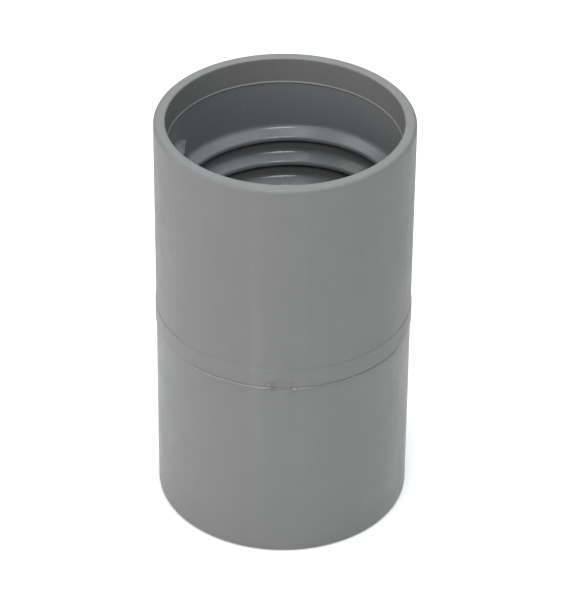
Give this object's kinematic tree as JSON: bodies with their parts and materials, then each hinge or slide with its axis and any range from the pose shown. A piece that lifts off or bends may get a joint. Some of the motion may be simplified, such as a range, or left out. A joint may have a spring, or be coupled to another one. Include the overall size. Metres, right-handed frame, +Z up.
{
  "type": "push fit coupling",
  "caption": "Grey plastic tube coupling: two shells and a raised centre band around swivelling threaded sleeves that grip ribbed hose.",
  "frame": {"origin": "centre of the lower rim, on the surface the coupling stands on", "axes": "+Z up the coupling's axis, from the lower mouth to the upper mouth; +X to the right and +Y away from a viewer at azimuth 0"},
  "size_m": [0.0504, 0.0504, 0.085],
  "materials": {
    "shell_plastic": "fine matte moulded texture",
    "sleeve_plastic": "smooth moulded",
    "seal_rubber": "matte black"
  },
  "bodies": {
    "housing": {"upper_shell": "shell_plastic", "lower_shell": "shell_plastic", "centre_ring": "shell_plastic"},
    "upper_sleeve": {"upper_threaded_sleeve": "sleeve_plastic", "upper_o_ring": "seal_rubber", "upper_hose_gasket": "seal_rubber"},
    "lower_sleeve": {"lower_threaded_sleeve": "sleeve_plastic", "lower_o_ring": "seal_rubber", "lower_hose_gasket": "seal_rubber"}
  },
  "joints": [
    {"name": "upper_swivel", "type": "hinge", "parent": "housing", "child": "upper_sleeve", "pos_m": [0, 0, 0.062], "axis": [0, 0, 1], "continuous": true},
    {"name": "lower_swivel", "type": "hinge", "parent": "housing", "child": "lower_sleeve", "pos_m": [0, 0, 0.023], "axis": [0, 0, 1], "continuous": true}
  ]
}
